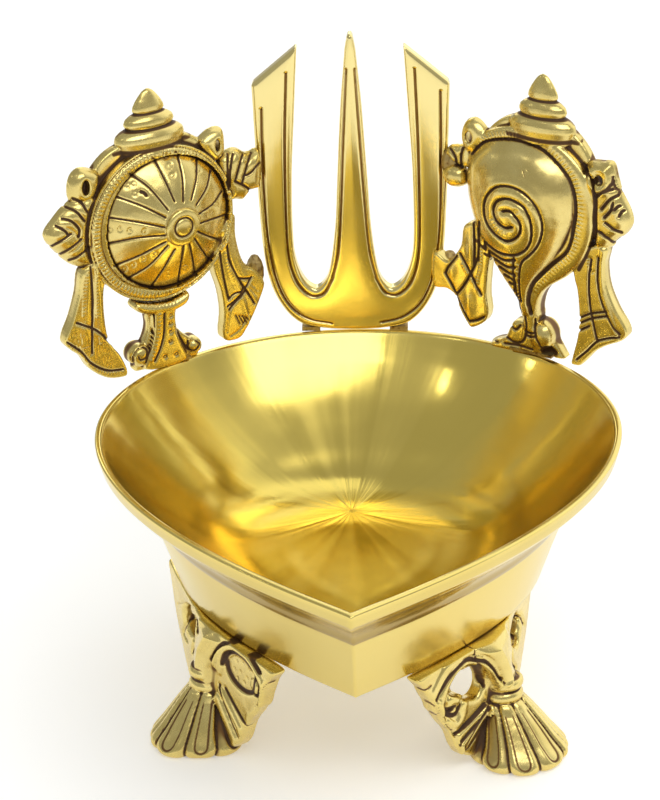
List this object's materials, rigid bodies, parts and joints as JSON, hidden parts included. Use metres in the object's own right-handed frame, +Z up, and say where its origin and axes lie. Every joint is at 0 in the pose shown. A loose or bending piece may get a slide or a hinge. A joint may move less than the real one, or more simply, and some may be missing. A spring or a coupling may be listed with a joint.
{
  "type": "diya",
  "caption": "Teardrop brass oil lamp bowl on scrolled bracket feet, with a tilak between chakra and shankha plaques on its rim",
  "frame": {"origin": "middle of the lamp's bounding box, on the surface that it stands on", "axes": "+Z up, -Y towards the bowl's tip, +X towards the shankha plaque"},
  "size_m": [0.1694, 0.1788, 0.1756],
  "materials": {
    "polished_brass": "hand-polished satin cast brass with faint buffing marks",
    "antique_brass": "antiqued cast brass, bright on worn edges and dark brown in the recesses",
    "braze": "rough braze metal, unpolished",
    "screw_brass": "turned brass screw"
  },
  "bodies": {
    "root": {"leg_front_left": "antique_brass", "leg_screw_front_left": "screw_brass", "leg_front_right": "antique_brass", "leg_screw_front_right": "screw_brass", "leg_rear": "antique_brass", "leg_screw_rear": "screw_brass", "bowl": "polished_brass", "tilak": "polished_brass", "tilak_lug_left": "braze", "tilak_lug_right": "braze", "chakra": "antique_brass", "braze_chakra_upper": "braze", "braze_chakra_lower": "braze", "braze_chakra_foot": "braze", "conch": "antique_brass", "braze_conch_upper": "braze", "braze_conch_lower": "braze", "braze_conch_foot": "braze"}
  },
  "joints": []
}
